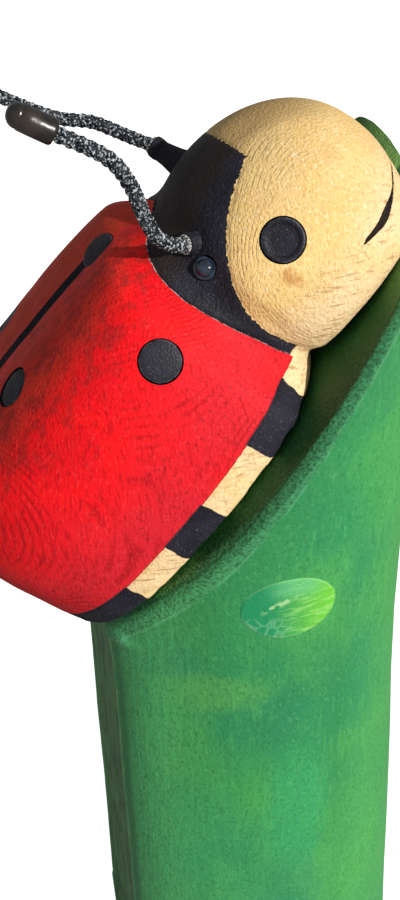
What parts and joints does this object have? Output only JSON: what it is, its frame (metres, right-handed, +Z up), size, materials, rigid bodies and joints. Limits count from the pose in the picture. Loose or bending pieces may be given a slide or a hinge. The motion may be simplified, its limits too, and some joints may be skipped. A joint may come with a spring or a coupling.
{
  "type": "carved wooden ladybird on a leaf post",
  "caption": "Garden figure of a ladybird carved and painted in wood, climbing the sloping leaf-shaped top of a round log post, with braided feelers.",
  "frame": {"origin": "centre of the post's sawn foot, on the ground", "axes": "+Z up along the post; the ladybird climbs towards +X, with its right flank to the front at -Y"},
  "size_m": [0.4666, 0.3876, 1.1584],
  "materials": {
    "leaf_green": "painted, satin",
    "rim_stripes": "bare and painted stripes",
    "shell_red": "painted, satin",
    "charcoal": "painted, matt",
    "face_cream": "oiled bare wood",
    "black_gloss": "gloss",
    "braided_rope": "braided"
  },
  "bodies": {
    "root": {"leaf_post": "leaf_green", "abdomen": "rim_stripes", "elytron_right": "shell_red", "elytron_left": "shell_red", "pronotum": "charcoal", "head": "face_cream", "spot_middle": "charcoal", "spot_flank_right": "charcoal", "spot_flank_left": "charcoal", "spot_back_right": "charcoal", "spot_back_left": "charcoal", "spot_rear_right": "charcoal", "spot_rear_left": "charcoal", "eye_right": "charcoal", "eye_left": "charcoal", "screw_right": "black_gloss", "screw_left": "black_gloss", "feeler_right": "braided_rope", "feeler_left": "braided_rope", "cap_right": "black_gloss", "cap_left": "black_gloss"}
  },
  "joints": []
}
